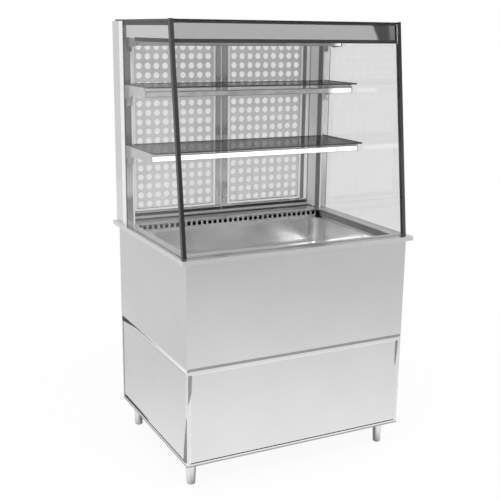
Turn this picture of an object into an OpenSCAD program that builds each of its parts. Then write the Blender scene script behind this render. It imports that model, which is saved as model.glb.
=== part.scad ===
// Refrigerated counter display case: a steel base cabinet on four legs carries a cooled well,
// over which posts, leaning front glass, two glass shelves and rear doors form the display.
// Millimetres. The origin is on the floor under the middle of the rim, the front faces -Y.

/* [Cabinet] */
// Width of the cabinet skins
body_w = 940; // [880:10:1060]
// Depth of the cabinet skins
body_d = 725; // [700:5:780]
// Height of the counter rim above the floor
counter_h = 902; // [880:2:940]
// Height of the legs below the base frame
leg_h = 105; // [80:1:140]
// Height of the base module
base_h = 377; // [340:1:400]
// Width of the base frame members seen from outside
frame_w = 12; // [10:1:16]
// Shadow gap around each base panel
panel_gap = 3; // [2:0.5:5]
// Depth of the base panels behind the frame face
panel_recess = 2; // [1:0.5:4]
// Sheet thickness of the skins
skin_t = 1.5; // [1:0.1:2]
// Top diameter of a leg
leg_d1 = 42; // [36:1:50]
// Floor diameter of a leg
leg_d2 = 32; // [26:1:36]
// Distance of the leg axis from the cabinet side
leg_in_x = 44; // [40:1:60]
// Distance of the leg axis from the cabinet front and back
leg_in_y = 70; // [50:1:90]

/* [Counter rim and well] */
// Overhang of the rim over the skins
rim_over = 20; // [14:1:30]
// Plate thickness of the rim
rim_t = 2; // [1.5:0.1:3]
// Height of the downturned rim edge
rim_edge = 17; // [12:1:24]
// Width of the rim in front of the well
rim_front = 66.5; // [55:0.5:80]
// Width of the rim beside the well
rim_side = 57; // [50:1:70]
// Depth of the rear deck behind the well
deck_d = 141.5; // [136:0.5:160]
// Corner radius of the well opening
well_r = 16; // [8:1:30]
// Drop from the rim to the well ledge
ledge_drop = 33; // [26:1:45]
// Width of the ledge around the tub
ledge_w = 13; // [8:1:20]
// Depth of the tub below the ledge
tub_depth = 150; // [100:5:160]
// Corner radius of the tub
tub_r = 55; // [30:1:70]
// Wall thickness of the tub
tub_t = 1.5; // [1:0.1:2]

/* [Air grille] */
// Slot spacing
slot_pitch = 24.2; // [20:0.1:28]
// Slot width
slot_w = 14; // [10:0.5:16]
// Slot height
slot_h = 18; // [12:0.5:20]
// Least gap between the slotted strip and the well sides
slot_end = 20; // [16:1:40]

/* [Display] */
// Total height
total_h = 1720; // [1650:5:1780]
// Overhang of the display over the cabinet skins on each side
glass_over = 5; // [0:0.5:10]
// Glass thickness of the panes
glass_t = 6; // [5:0.5:8]
// Distance of the front glass foot from the rim edge
glass_foot = 33.5; // [28:0.5:42]
// Backward lean of the front glass over its height
glass_lean = 105; // [60:1:130]
// Post width
post_w = 39; // [34:1:46]
// Post depth
post_d = 128; // [110:1:136]
// Corner profile leg length on the front
corner_a = 14; // [10:1:20]
// Corner profile leg length on the side
corner_b = 16; // [10:1:24]
// Height of the canopy box with its hem
canopy_h = 65; // [50:1:80]
// Distance of the canopy top below the roof pane
canopy_drop = 7; // [4:1:22]
// Height of the set-back hem below the canopy face
hem_h = 10; // [6:1:14]

/* [Shelves] */
// Glass thickness of the shelves
shelf_t = 6; // [5:0.5:8]
// Drop of the upper shelf top below the canopy
shelf_drop = 166; // [150:1:200]
// Height of the upper shelf above the lower shelf
shelf_gap = 240; // [200:1:260]
// Depth of the upper shelf in front of the posts
shelf_d2 = 236; // [200:1:280]
// Depth of the lower shelf in front of the posts
shelf_d1 = 294; // [250:1:320]
// Height of the lamp bars
lamp_h = 22; // [18:1:26]
// Depth of the lamp bars
lamp_d = 15; // [12:1:20]
// Gap between the top lamp and the canopy
lamp_gap = 3; // [2:1:24]

/* [Rear doors] */
// Width of the outer stile
stile_o = 44; // [38:1:50]
// Width of the meeting stile
stile_m = 38; // [32:1:44]
// Width of the bottom and top rail
rail_w = 40; // [34:1:46]
// Thickness of the door frame
door_t = 20; // [16:1:22]
// Spacing of the round openings in the screen
dot_pitch = 38.3; // [34:0.1:44]
// Diameter of the round openings
dot_d = 25; // [18:0.5:30]
// Height of the door pull above the lower door edge
pull_h = 330; // [250:5:500]

/* [Machine compartment] */
// Shell diameter of the compressor
comp_d = 168; // [140:2:180]
// Shell height of the compressor
comp_h = 196; // [160:2:220]
// Width of the condenser coil
cond_w = 300; // [240:10:320]
// Height of the condenser coil
cond_h = 250; // [240:5:260]
// Diameter of the condenser fan
cfan_d = 200; // [180:2:220]
// Diameter of the evaporator fans
efan_d = 88; // [80:1:90]
// Distance of the evaporator fans from the middle
efan_x = 190; // [150:5:240]

/* [Fits] */
// Radial running clearance of pins and shafts
run_fit = 0.05; // [0.02:0.01:0.1]
// Gap between glass and its neighbours
glass_gap = 0.3; // [0.2:0.1:0.6]
// Gap around each door
door_gap = 3; // [2:0.5:4]

/* [Hidden] */
base_z = leg_h;
base_top = base_z + base_h;
step_h = 3;
skirt_z = base_top + step_h;
rim_z = counter_h;
rim_under = rim_z - rim_t;
rim_x = body_w/2 + rim_over;
rim_y = body_d/2 + rim_over;
glass_x = body_w/2 + glass_over;
well_x = rim_x - rim_side;
well_y0 = -rim_y + rim_front;
well_y1 = rim_y - deck_d;
ledge_z = rim_z - ledge_drop;
tub_x = well_x - ledge_w;
tub_y0 = well_y0 + ledge_w;
tub_y1 = well_y1 - ledge_w;
tub_z = ledge_z - tub_depth;
post_y1 = rim_y - 2.5;
post_y0 = post_y1 - post_d;
post_in = glass_x - post_w;
roof_t = glass_t;
post_top = total_h - roof_t - 2;
foot_y = -rim_y + glass_foot;
glass_h = total_h - rim_z;
lean_k = glass_lean/glass_h;
canopy_z1 = post_top - canopy_drop;
canopy_z0 = canopy_z1 - canopy_h;
canopy_x = glass_x - glass_t - 4;
hem_in = 3;
shelf_x = glass_x - glass_t - 9;
bracket_x = shelf_x - 1;
bracket_t = 2;
bracket_foot = 22;
sill_h = 3;
header_h = 5;
stop_h = 6;
stop_t = 2;
door_x1 = post_in - door_gap;
door_x0 = 1;
door_y1 = post_y1;
door_y0 = door_y1 - door_t;
stop_y = door_y0 - 4;
door_z0 = rim_z + sill_h + 1;
door_z1 = post_top - header_h - 1;
pin_r = 3;
pin_x = door_x1 - 6;
pin_y = door_y1 - 6;
field_x0 = door_x0 + stile_m;
field_x1 = door_x1 - stile_o;
field_z0 = door_z0 + rail_w;
field_z1 = door_z1 - rail_w;
plenum_y0 = well_y1 + 4;
plenum_y1 = body_d/2 - 8;
plenum_z = tub_z - 18;
insul_z = plenum_z - 22;
pan_d = 12;
skirt_flange = 24;
panel_h = base_h - 2*frame_w - 2*panel_gap;
plate_t = 3;
leg_room = 32;
louvre_p = 20;
louvre_w = cond_w - 30;
louvre_n = floor((panel_h - 85)/louvre_p);
louvre_z = base_z + frame_w + panel_gap + 45;
ledge_t = 2;
grille_t = 1.5;
grille_lip = 6;
slot_n = floor((2*well_x - 2*slot_end - 2*grille_lip - slot_w)/slot_pitch) + 1;
slot_z = rim_under - 1.5 - slot_h;
drain_r = 14;
drain_t = 2;
drain_x = 60;
drain_y = -60;
fan_z = rim_under - 62;
efan_y = (plenum_y0 + plenum_y1)/2;
efan_h = 20;
efan_shaft = 2.5;
fan_gap = 3;
evap_x = well_x - 73;
evap_y0 = plenum_y0 + 5;
evap_y1 = plenum_y1 - 5;
evap_in = 20;
evap_z1 = fan_z - 38;
evap_za = plenum_z + 36;
evap_zb = plenum_z + 66;
evap_tube = 5;
line_x = -well_x + 17;
line_p = 24;
line_hole = 8;
shelf_z2 = canopy_z0 - shelf_drop;
shelf_z1 = shelf_z2 - shelf_gap;
lamp_x = bracket_x - bracket_t;
lamp_y2 = post_y0 - shelf_d2 + 34;
lamp_z2 = shelf_z2 - shelf_t - 14 - lamp_h;
lamp_y1 = post_y0 - shelf_d1 + 31;
lamp_z1 = shelf_z1 - shelf_t - 10 - lamp_h;
lamp_y3 = post_y0 - 110;
lamp_h3 = 16;
lamp_z3 = canopy_z0 - lamp_gap - lamp_h3;
lamp_top = canopy_z0 + hem_h - 2;
lamp_wall = 2;
lamp_lip = 1.5;
led_w = 8;
lip = 10;
groove = 6;
groove_y0 = door_y0 + 8;
groove_y1 = groove_y0 + 6;
screen_t = 1.5;
pane_gap = 0.5;
dot_edge = 2;
dot_cols = floor((field_x1 - field_x0 - dot_d - 2*dot_edge)/dot_pitch) + 1;
dot_rows = floor((field_z1 - field_z0 - dot_d - 2*dot_edge)/dot_pitch) + 1;
pull_z = door_z0 + pull_h;
unit_z = base_z + plate_t + skin_t;
cond_x = body_w/2 - cond_w/2 - 145;
cond_y1 = body_d/2 - 42;
cond_y0 = cond_y1 - 60;
cond_z0 = unit_z + 6;
cond_in = 16;
cond_tube = 5;
cond_end = cond_w/2 + 12;
cfan_z = cond_z0 + cond_h/2;
cfan_h = 30;
cfan_shaft = 4;
shroud_d = 34;
comp_x = comp_d/2 + 171 - body_w/2;
comp_y = 40;
comp_out = comp_h - 60;
stub = 14;
ctrl_x = -250;
ctrl_z = skirt_z + 105;
switch_w = 22;
switch_h = 38;
switch_gap = 60;
cut_gap = 0.3;
thermo_w = 70;
thermo_h = 28;
thermo_x = ctrl_x + 2*switch_gap + 5;
rocker_r = 16.5;
rocker_w = 16.2;
rocker_a = 10;
rocker_in = 6;
rocker_pin = 1.5;

steel = [0.78, 0.78, 0.79];
dark = [0.22, 0.23, 0.24];
alu = [0.7, 0.71, 0.72];
clear = [0.8, 0.88, 0.88, 0.35];

// Outer face of the front glass at height z
function glass_y(z) = foot_y + (z - rim_z)*lean_k;

// Thickness of the front glass measured along Y
glass_ty = glass_t*sqrt(1 + lean_k*lean_k);

// Rectangle with true round corners, centred
module rrect(w, h, r) {
    square([w - 2*r, h], center = true);
    square([w, h - 2*r], center = true);
    for (x = [-1, 1], y = [-1, 1])
        translate([x*(w/2 - r), y*(h/2 - r)]) circle(r = r, $fn = 48);
}

// Plate of thickness t at x, drawn in the YZ plane
module yz(x, t) {
    translate([x, 0, 0]) rotate([90, 0, 90]) linear_extrude(t) children();
}

// Box between two corner points
module box(a, b) {
    translate(a) cube(b - a);
}

// Rounded box with round vertical and bottom edges, open to the top
module tub_block(x, y0, y1, z0, z1, r) {
    box([-x + r, y0 + r, z0], [x - r, y1 - r, z1]);
    box([-x, y0 + r, z0 + r], [x, y1 - r, z1]);
    box([-x + r, y0, z0 + r], [x - r, y1, z1]);
    for (sx = [-1, 1], y = [y0 + r, y1 - r]) {
        translate([sx*(x - r), y, z0 + r]) cylinder(r = r, h = z1 - z0 - r, $fn = 64);
        translate([sx*(x - r), y, z0 + r]) sphere(r = r, $fn = 64);
    }
    for (y = [y0 + r, y1 - r])
        translate([-x + r, y, z0 + r]) rotate([0, 90, 0]) cylinder(r = r, h = 2*(x - r), $fn = 64);
    for (sx = [-1, 1])
        translate([sx*(x - r), y0 + r, z0 + r]) rotate([-90, 0, 0])
            cylinder(r = r, h = y1 - y0 - 2*r, $fn = 64);
}

// Folded sheet panel facing -Y, with four return flanges
module pan(w, h, d, t) {
    translate([-w/2, 0, 0]) cube([w, t, h]);
    translate([-w/2, 0, 0]) cube([w, d, t]);
    translate([-w/2, 0, h - t]) cube([w, d, t]);
    for (x = [-w/2, w/2 - t]) translate([x, 0, 0]) cube([t, d, h]);
}

// Mirrors its children to both sides of the middle plane
module both() {
    children();
    mirror([1, 0, 0]) children();
}

// Round tube through a list of points, with balls at the bends and flat ends
module pipe(pts, r) {
    for (i = [0 : len(pts) - 2]) {
        v = pts[i + 1] - pts[i];
        translate(pts[i]) rotate([0, acos(v[2]/norm(v)), atan2(v[1], v[0])])
            cylinder(r = r, h = norm(v), $fn = 24);
        if (i > 0) translate(pts[i]) sphere(r = r, $fn = 24);
    }
}

// Tapered round legs under the corner plates of the frame
module legs() {
    edge = 3;
    color(steel)
    for (x = [-1, 1], y = [-1, 1]) translate([x*(body_w/2 - leg_in_x), y*(body_d/2 - leg_in_y), 0]) {
        cylinder(r1 = leg_d2/2 - edge, r2 = leg_d2/2, h = edge, $fn = 48);
        translate([0, 0, edge]) cylinder(r1 = leg_d2/2, r2 = leg_d1/2, h = leg_h - edge, $fn = 48);
    }
}

// One frame ring with its outer faces set in from the cabinet planes
module frame_ring(z, h, inset, w) {
    x = body_w/2 - inset;
    y = body_d/2 - inset;
    difference() {
        box([-x, -y, z], [x, y, z + h]);
        box([-x + w, -y + w, z - 1], [x - w, y - w, z + h + 1]);
    }
}

// Welded base frame with leg plates, panel stops and the step that carries the upper skins
module base_frame() {
    ring_w = 20;
    step_in = 8;
    stop_w = 20;
    stop_t = 2;
    stop_y = -body_d/2 + panel_recess + pan_d;
    stop_x = -body_w/2 + panel_recess + pan_d;
    leg_x = leg_in_x + leg_d1/2 + leg_room;
    leg_y = leg_in_y + leg_d1/2 + leg_room;
    color(steel) {
        frame_ring(base_z, frame_w, 0, ring_w);
        frame_ring(base_top - frame_w, frame_w, 0, ring_w);
        frame_ring(base_top, step_h, step_in, ring_w);
        for (sx = [0, 1], sy = [0, 1]) mirror([sx, 0, 0]) mirror([0, sy, 0]) {
            box([-body_w/2, -body_d/2, base_z], [-body_w/2 + frame_w, -body_d/2 + frame_w, base_top]);
            box([stop_x, stop_y, base_z + 1], [stop_x + stop_w, stop_y + stop_t, base_top + 1]);
            box([stop_x, stop_y, base_z + 1], [stop_x + stop_t, stop_y + stop_w, base_top + 1]);
            box([-body_w/2 + step_in, -body_d/2 + step_in, base_z],
                [-body_w/2 + leg_x, -body_d/2 + leg_y, base_z + plate_t]);
        }
    }
}

// Floor pan of the machine compartment, with raised edges, air slots and the drain hole
module unit_plate() {
    x = body_w/2 - 38;
    y = body_d/2 - 40;
    z = base_z + plate_t;
    edge_h = 22;
    vent_w = 8;
    vent_l = 100;
    vent_pitch = 60;
    color(steel)
    difference() {
        box([-x, -y, z], [x, y, z + edge_h]);
        box([-x + skin_t, -y + skin_t, z + skin_t], [x - skin_t, y - skin_t, z + edge_h + 1]);
        for (i = [-3.5 : 3.5]) translate([i*vent_pitch, -y + vent_l, z - 1])
            linear_extrude(skin_t + 2) rrect(vent_w, vent_l, vent_w/2 - 0.1);
        translate([drain_x, drain_y, z - 1]) cylinder(r = drain_r + 1, h = skin_t + 2, $fn = 48);
    }
}

// Plain panel of one base side, set back inside the frame
module base_panel(w) {
    translate([0, panel_recess, base_z + frame_w + panel_gap])
        pan(w - 2*frame_w - 2*panel_gap, panel_h, pan_d, skin_t);
}

module base_panel_front() {
    color(steel) translate([0, -body_d/2, 0]) base_panel(body_w);
}

module base_panel_left() {
    color(steel) translate([-body_w/2, 0, 0]) rotate([0, 0, -90]) base_panel(body_d);
}

module base_panel_right() {
    color(steel) translate([body_w/2, 0, 0]) rotate([0, 0, 90]) base_panel(body_d);
}

// Rear service panel with two columns of pressed louvres over open slots
module louvre_panel() {
    color(steel)
    translate([0, body_d/2, 0]) rotate([0, 0, 180]) {
        difference() {
            base_panel(body_w);
            for (x = [-cond_x, cond_x], i = [0 : louvre_n - 1])
                box([x - louvre_w/2, -1, louvre_z + i*louvre_p],
                    [x + louvre_w/2, 5, louvre_z + (i + 0.5)*louvre_p]);
        }
        for (x = [-cond_x, cond_x], i = [0 : louvre_n - 1])
            translate([x, panel_recess, louvre_z + i*louvre_p]) louvre();
    }
}

// One pressed hood with closed ends, open downwards
module louvre() {
    w = louvre_w/2 + 1;
    h = louvre_p/2 + 1;
    t = 1.2;
    hood = 8;
    yz(-w, 2*w) polygon([[0, h], [t, h], [t, h - t], [t - hood, -1], [-hood, -1]]);
    for (x = [-w, w - t]) yz(x, t) polygon([[0.5, h], [0.5, -1], [-hood, -1], [0, h]]);
}

// Side skin over the full depth, with its flanges clear of the front and rear skins
module side_skin() {
    x = -body_w/2;
    y = body_d/2 - skirt_flange - 2;
    box([x, -body_d/2, skirt_z], [x + skin_t, body_d/2, rim_under]);
    for (z = [skirt_z, rim_under - skin_t])
        box([x, -y, z], [x + skirt_flange, y, z + skin_t]);
}

// Front or rear skin between the side skins, facing -Y
module skirt() {
    pan(body_w - 2*skin_t, rim_under - skirt_z, skirt_flange, skin_t);
}

module skirt_front() {
    color(steel) translate([0, -body_d/2, skirt_z]) skirt();
}

module skirt_left() {
    color(steel) side_skin();
}

module skirt_right() {
    color(steel) mirror([1, 0, 0]) side_skin();
}

// Rear skin with the cut-outs for the thermostat and the two switches
module control_panel() {
    color(steel)
    difference() {
        translate([0, body_d/2, skirt_z]) rotate([0, 0, 180]) skirt();
        for (x = [0, switch_gap]) translate([ctrl_x + x, body_d/2 - 5, ctrl_z])
            box([-switch_w/2, 0, -switch_h/2], [switch_w/2, 6, switch_h/2]);
        translate([thermo_x, body_d/2 - 5, ctrl_z])
            box([-thermo_w/2, 0, -thermo_h/2], [thermo_w/2, 6, thermo_h/2]);
    }
}

// Outline of the well opening, grown by g
module well_outline(g) {
    translate([0, (well_y0 + well_y1)/2]) rrect(2*(well_x + g), well_y1 - well_y0 + 2*g, well_r + g);
}

// Counter rim: flat plate with a downturned edge, the well opening and its three inner flanges
module rim_top() {
    color(steel) {
        difference() {
            box([-rim_x, -rim_y, rim_z - rim_edge], [rim_x, rim_y, rim_z]);
            box([-rim_x + rim_t, -rim_y + rim_t, 0], [rim_x - rim_t, rim_y - rim_t, rim_under]);
            translate([0, 0, rim_under - 1]) linear_extrude(rim_t + 2) well_outline(0);
        }
        difference() {
            translate([0, 0, ledge_z]) linear_extrude(ledge_drop - 0.5) well_outline(rim_t);
            translate([0, 0, ledge_z - 1]) linear_extrude(ledge_drop + 2) well_outline(0);
            box([-well_x - 9, well_y1 - well_r, 0], [well_x + 9, well_y1 + 9, rim_under]);
        }
    }
}

// Inner space of the tub up to z1, grown by g
module tub_space(g, z1) {
    tub_block(tub_x + g, tub_y0 - g, tub_y1 + g, tub_z - g, z1, tub_r + g);
}

// Drawn tank: ledge around a deep tub with round corners and a drain hole
module tank_liner() {
    color(steel)
    difference() {
        union() {
            box([-well_x - rim_t, well_y0 - rim_t, ledge_z - ledge_t], [well_x + rim_t, plenum_y0, ledge_z]);
            tub_space(tub_t, ledge_z - 1);
        }
        tub_space(0, ledge_z + 1);
        translate([drain_x, drain_y, tub_z - 5]) cylinder(r = drain_r - 2, h = 10, $fn = 48);
    }
}

// Slotted outlet strip that blows cold air over the well from below the deck
module air_grille() {
    half = (slot_n - 1)/2*slot_pitch + slot_w/2 + grille_lip;
    flange = 16;
    color(steel)
    difference() {
        union() {
            box([-half, well_y1, ledge_z], [half, well_y1 + grille_t, rim_under]);
            box([-half, well_y1, rim_under - grille_t], [half, well_y1 + flange, rim_under]);
            box([-half, well_y1, ledge_z], [half, plenum_y0, ledge_z + grille_t]);
        }
        for (i = [0 : slot_n - 1]) translate([(i - (slot_n - 1)/2)*slot_pitch, 0, 0])
            box([-slot_w/2, well_y1 - 1, slot_z], [slot_w/2, well_y1 + 2, slot_z + slot_h]);
    }
}

// Foam around the tub and the air plenum
module tank_insulation() {
    x = body_w/2 - 2*skin_t;
    y = body_d/2 - skin_t;
    color([0.9, 0.86, 0.7])
    difference() {
        box([-x, -y, insul_z], [x, y, ledge_z - ledge_t]);
        tub_space(tub_t, ledge_z + 1);
        box([-well_x, plenum_y0, plenum_z], [well_x, plenum_y1, ledge_z + 1]);
        translate([drain_x, drain_y, insul_z - 1]) cylinder(r = drain_r + cut_gap, h = 80, $fn = 48);
        translate([drain_x, drain_y, tub_z - tub_t - drain_t - cut_gap])
            cylinder(r = drain_r + 8 + cut_gap, h = 10, $fn = 48);
        for (p = [[line_x, evap_y1 - evap_in], [line_x + line_p, evap_y0 + evap_in]])
            translate([p[0], p[1], insul_z - 1]) cylinder(r = line_hole, h = 40, $fn = 32);
    }
}

// Finned evaporator coil on two end plates: six runs joined to one path by bends
module evaporator() {
    n = 40;
    p = 2*evap_x/n;
    fin_t = 0.8;
    fin_in = 4;
    end_t = 2;
    ym = (evap_y0 + evap_y1)/2;
    e = evap_x + 10;
    ya = evap_y0 + evap_in;
    yb = evap_y1 - evap_in;
    color(alu) {
        for (i = [1 : n - 1]) translate([-evap_x + i*p, 0, 0])
            box([0, evap_y0 + fin_in, plenum_z + 18], [fin_t, evap_y1 - fin_in, evap_z1 - fin_in]);
        for (x = [-1, 1]) translate([x*evap_x, 0, 0])
            box([-end_t/2, evap_y0, plenum_z], [end_t/2, evap_y1, evap_z1]);
        pipe([[-e - 4, ya, evap_za], [e, ya, evap_za], [e, ya, evap_zb], [-e, ya, evap_zb],
            [-e, ym, evap_zb], [e, ym, evap_zb], [e, ym, evap_za], [-e, ym, evap_za],
            [-e, yb, evap_za], [e, yb, evap_za], [e, yb, evap_zb], [-e - 4, yb, evap_zb]], evap_tube);
    }
}

// Shelf across the plenum with a round opening for each evaporator fan
module fan_plate() {
    color(steel)
    difference() {
        box([-well_x, plenum_y0, fan_z], [well_x, plenum_y1, fan_z + skin_t]);
        for (x = [-efan_x, efan_x]) translate([x, efan_y, fan_z - 1])
            cylinder(r = efan_d/2 + fan_gap, h = skin_t + 2, $fn = 64);
    }
}

// Evaporator fan motors on three arms above the openings
module evap_motors() {
    motor_z = 15;
    motor_h = 26;
    arm_w = 6;
    arm_t = 3;
    arm_r = efan_d/2 + fan_gap + 1;
    color(dark)
    for (x = [-efan_x, efan_x]) translate([x, efan_y, fan_z + skin_t]) {
        difference() {
            union() {
                translate([0, 0, motor_z]) cylinder(r = 19, h = motor_h, $fn = 48);
                for (a = [90, 210, 330]) rotate([0, 0, a]) {
                    box([12, -arm_w/2, motor_z], [arm_r + arm_t, arm_w/2, motor_z + arm_t]);
                    box([arm_r, -arm_w/2, 0], [arm_r + arm_t, arm_w/2, motor_z + arm_t]);
                }
            }
            translate([0, 0, motor_z - 1]) cylinder(r = efan_shaft + run_fit, h = 20, $fn = 32);
        }
    }
}

// Fan wheel about +Z: hub, five flat pitched blades and a shaft that rises above the hub
module fan_wheel(d, h, hub, shaft_r, shaft_l) {
    blades = 5;
    pitch = 34;
    chord = d*0.24;
    t = 1.6;
    cylinder(r = hub, h = h, $fn = 48);
    cylinder(r = shaft_r, h = h + shaft_l, $fn = 32);
    intersection() {
        for (i = [0 : blades - 1]) rotate([0, 0, i*360/blades]) translate([hub - 2, 0, h/2])
            rotate([pitch, 0, 0]) translate([0, -chord/2, -t/2]) cube([d, chord, t]);
        translate([0, 0, 0.5]) cylinder(r = d/2, h = h - 1, $fn = 64);
    }
}

// Evaporator fan in its opening at x
module evap_fan(x) {
    translate([x, efan_y, fan_z - 8]) fan_wheel(efan_d, efan_h, 14, efan_shaft, 16);
}

module evap_fan_left() {
    color(dark) evap_fan(-efan_x);
}

module evap_fan_right() {
    color(dark) evap_fan(efan_x);
}

// Drain tube from the tub floor through the floor pan
module drain_pipe() {
    color([0.55, 0.55, 0.57])
    translate([drain_x, drain_y, 0]) difference() {
        union() {
            translate([0, 0, base_z - 12]) cylinder(r = drain_r, h = tub_z - tub_t - base_z + 12, $fn = 48);
            translate([0, 0, tub_z - tub_t - drain_t]) cylinder(r = drain_r + 8, h = drain_t, $fn = 48);
        }
        translate([0, 0, base_z - 13]) cylinder(r = drain_r - drain_t, h = tub_z, $fn = 48);
    }
}

// Folded box post with round edges and a closed top
module post() {
    r = 4;
    h = post_top - rim_z;
    color(steel)
    translate([post_in + post_w/2, (post_y0 + post_y1)/2, rim_z]) difference() {
        linear_extrude(h) rrect(post_w, post_d, r);
        translate([0, 0, -1]) linear_extrude(h - 1) rrect(post_w - 2*skin_t, post_d - 2*skin_t, r - skin_t);
    }
}

module post_left() {
    mirror([1, 0, 0]) post();
}

module post_right() {
    post();
}

// Side pane from the leaning front glass back to the post
module side_glass() {
    z0 = rim_z;
    y = glass_ty + glass_gap;
    color(clear)
    yz(glass_x - glass_t, glass_t) polygon([[glass_y(z0) + y, z0], [post_y0, z0],
        [post_y0, post_top], [glass_y(post_top) + y, post_top]]);
}

module side_glass_left() {
    mirror([1, 0, 0]) side_glass();
}

module side_glass_right() {
    side_glass();
}

// Full-width leaning front pane
module front_glass() {
    color(clear)
    yz(-glass_x, 2*glass_x) polygon([[foot_y, rim_z], [foot_y + glass_ty, rim_z],
        [glass_y(total_h) + glass_ty, total_h], [glass_y(total_h), total_h]]);
}

// Dark angle that wraps the upright edge between the front and side panes
module corner_profile() {
    t = 2;
    color(dark) {
        yz(glass_x + t - corner_a, corner_a) polygon([[foot_y - t, rim_z], [foot_y, rim_z],
            [glass_y(total_h), total_h], [glass_y(total_h) - t, total_h]]);
        yz(glass_x, t) polygon([[foot_y - t, rim_z], [foot_y + corner_b, rim_z],
            [glass_y(total_h) + corner_b, total_h], [glass_y(total_h) - t, total_h]]);
    }
}

module corner_profile_left() {
    mirror([1, 0, 0]) corner_profile();
}

module corner_profile_right() {
    corner_profile();
}

// Top pane over the posts and side panes
module roof_pane() {
    color([0.2, 0.22, 0.23, 0.6])
    box([-glass_x, glass_y(post_top + roof_t) + glass_ty + glass_gap, post_top],
        [glass_x, post_y1 - 40, post_top + roof_t]);
}

// Block behind the leaning glass from z0 to z1 and back to y1, set in by g from the canopy's faces
module canopy_block(g, z0, z1, y1) {
    y = glass_ty + 4 + g;
    yz(g - canopy_x, 2*canopy_x - 2*g)
        polygon([[glass_y(z0) + y, z0], [y1, z0], [y1, z1], [glass_y(z1) + y, z1]]);
}

// Hollow sheet box under the roof, carried by the posts, with a cable hole at each post.
// A set-back hem runs below its front part and stops before the lamp brackets.
module canopy() {
    hem_z = canopy_z0 + hem_h;
    hem_y = lamp_y3 - 4;
    color(steel)
    difference() {
        union() {
            canopy_block(0, hem_z, canopy_z1, post_y0);
            canopy_block(hem_in, canopy_z0, hem_z + skin_t, hem_y);
        }
        canopy_block(skin_t, hem_z + skin_t, canopy_z1 - skin_t, post_y0 - skin_t);
        canopy_block(hem_in + skin_t, canopy_z0 + skin_t, hem_z + 2*skin_t, hem_y - skin_t);
        for (x = [-post_in - 12, post_in + 12]) translate([x, post_y0 - 5, canopy_z0 + canopy_h/2])
            rotate([-90, 0, 0]) cylinder(r = 6, h = 10, $fn = 32);
    }
}

// Aluminium channel of a lamp bar: front face at y, underside at z
module lamp_channel(x, y, z, h) {
    difference() {
        box([-x, y + 1, z], [x, y + lamp_d, z + h]);
        box([-x + lamp_wall, y, z + lamp_lip], [x - lamp_wall, y + 2*lamp_wall, z + h - lamp_lip]);
        box([-x + lamp_wall, y + lamp_wall, z + lamp_lip + lamp_wall],
            [x - lamp_wall, y + lamp_d - lamp_wall, z + h - lamp_lip - lamp_wall]);
    }
}

// Opal cover of a lamp bar, held between the channel lips, with round front edges
module lamp_cover(x, y, z, h) {
    r = lamp_wall;
    z0 = z + lamp_lip;
    z1 = z + h - lamp_lip;
    yz(-x + lamp_wall, 2*x - 2*lamp_wall) {
        translate([y + r, z0]) square([r, z1 - z0]);
        translate([y, z0 + r]) square([2*r, z1 - z0 - 2*r]);
        for (v = [z0 + r, z1 - r]) translate([y + r, v]) circle(r = r, $fn = 32);
    }
}

// Light strips on the back walls of the three lamp channels
module led_strips() {
    color([0.95, 0.93, 0.8])
    for (v = [[lamp_y1, lamp_z1 + lamp_h/2], [lamp_y2, lamp_z2 + lamp_h/2], [lamp_y3, lamp_z3 + lamp_h3/2]])
        translate([0, v[0] + lamp_d - 2*lamp_wall, v[1]])
            box([-lamp_x + led_w, 0, -led_w/2], [lamp_x - led_w, lamp_wall, led_w/2]);
}

// Pressed bracket plate for one side: top edge at z, reaching from the post to y, with a deeper foot
module bracket(x, y, z, h0, h1, r) {
    yz(x - bracket_t, bracket_t) difference() {
        polygon([[post_y0, z], [y, z], [y, z - h1], [post_y0 - 2*bracket_foot, z - h1 - 6],
            [post_y0 - bracket_foot, z - h0], [post_y0, z - h0]]);
        translate([y, z - r]) difference() {
            translate([-1, 0]) square([r + 1, r + 1]);
            translate([r, 0]) circle(r = r, $fn = 64);
        }
    }
    box([post_in + 2, post_y0 - bracket_t, z - h0 - 26], [x, post_y0, z]);
}

// Pair of shelf brackets with the narrow flange that carries the glass
module bracket_pair(z, depth, h0, h1, r) {
    color(steel) both() {
        bracket(bracket_x, post_y0 - depth + 31, z, h0, h1, r);
        box([bracket_x - 14, post_y0 - depth + 60, z - bracket_t], [bracket_x, post_y0, z]);
    }
}

module brackets_upper() {
    bracket_pair(shelf_z2 - shelf_t, shelf_d2, 56, 14 + lamp_h - 2, 26);
}

module brackets_lower() {
    bracket_pair(shelf_z1 - shelf_t, shelf_d1, 50, 10 + lamp_h + 2, 12);
}

module shelf_upper() {
    color(clear) box([-shelf_x, post_y0 - shelf_d2, shelf_z2 - shelf_t], [shelf_x, post_y0, shelf_z2]);
}

module shelf_lower() {
    color(clear) box([-shelf_x, post_y0 - shelf_d1, shelf_z1 - shelf_t], [shelf_x, post_y0, shelf_z1]);
}

module lamp_upper() {
    color(alu) lamp_channel(lamp_x, lamp_y2, lamp_z2, lamp_h);
}

module diffuser_upper() {
    color([0.95, 0.95, 0.95]) lamp_cover(lamp_x, lamp_y2, lamp_z2, lamp_h);
}

module lamp_lower() {
    color(alu) lamp_channel(lamp_x, lamp_y1, lamp_z1, lamp_h);
}

module diffuser_lower() {
    color([0.95, 0.95, 0.95]) lamp_cover(lamp_x, lamp_y1, lamp_z1, lamp_h);
}

// Lamp under the canopy with its own pair of short brackets
module top_lamp() {
    color(alu) {
        lamp_channel(lamp_x, lamp_y3, lamp_z3, lamp_h3);
        both() bracket(bracket_x, lamp_y3 - 3, lamp_top, lamp_h3 + 10, lamp_top - lamp_z3 + 1, 6);
    }
}

module top_diffuser() {
    color([0.95, 0.95, 0.95]) lamp_cover(lamp_x, lamp_y3, lamp_z3, lamp_h3);
}

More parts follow.
